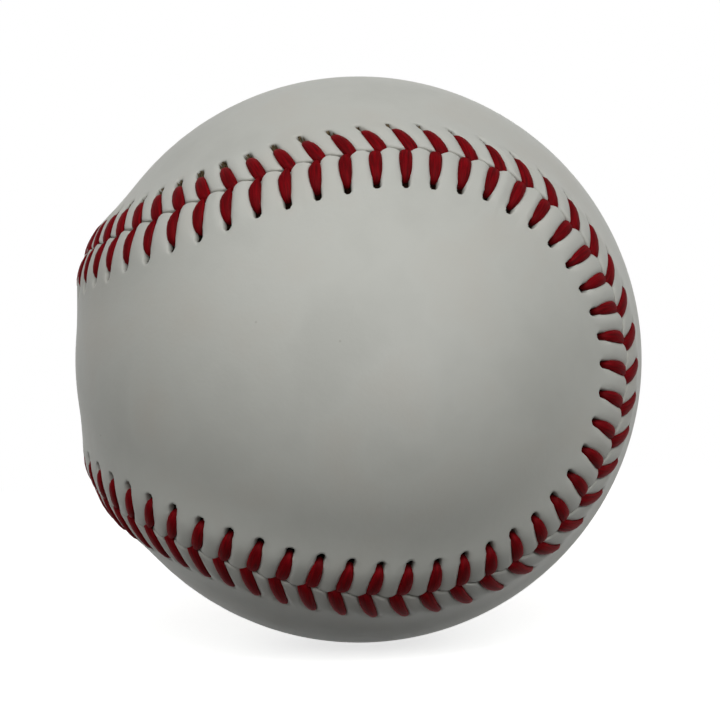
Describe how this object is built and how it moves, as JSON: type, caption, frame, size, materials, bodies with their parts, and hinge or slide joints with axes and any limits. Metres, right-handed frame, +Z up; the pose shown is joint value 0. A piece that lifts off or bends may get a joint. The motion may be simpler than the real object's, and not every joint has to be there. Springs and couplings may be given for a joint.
{
  "type": "baseball",
  "caption": "Hard leather ball with two figure-eight cover panels sewn by raised double stitching over wound yarn and a cork and rubber core.",
  "frame": {"origin": "centre of the ball", "axes": "-X through the middle of the front panel's waist, +Y and -Y through its lobes, +Z up through the back panel's lobe"},
  "size_m": [0.0746, 0.0738, 0.0738],
  "materials": {
    "cork": "matte pressed cork",
    "black_rubber": "matte",
    "red_rubber": "matte",
    "grey_wool": "wound yarn",
    "white_wool": "wound yarn",
    "white_cotton": "wound fine yarn",
    "cement": "dried latex film",
    "white_leather": "smooth, faint sheen",
    "red_thread": "waxed cotton"
  },
  "bodies": {
    "root": {"cork_core": "cork", "rubber_shell_front": "black_rubber", "rubber_shell_back": "black_rubber", "shell_gasket": "red_rubber", "pill_jacket": "red_rubber", "first_winding": "grey_wool", "second_winding": "white_wool", "third_winding": "grey_wool", "finish_winding": "white_cotton", "cement_coat": "cement", "cover_panel_front": "white_leather", "cover_panel_back": "white_leather", "stitch_thread_1": "red_thread", "stitch_thread_2": "red_thread"}
  },
  "joints": []
}
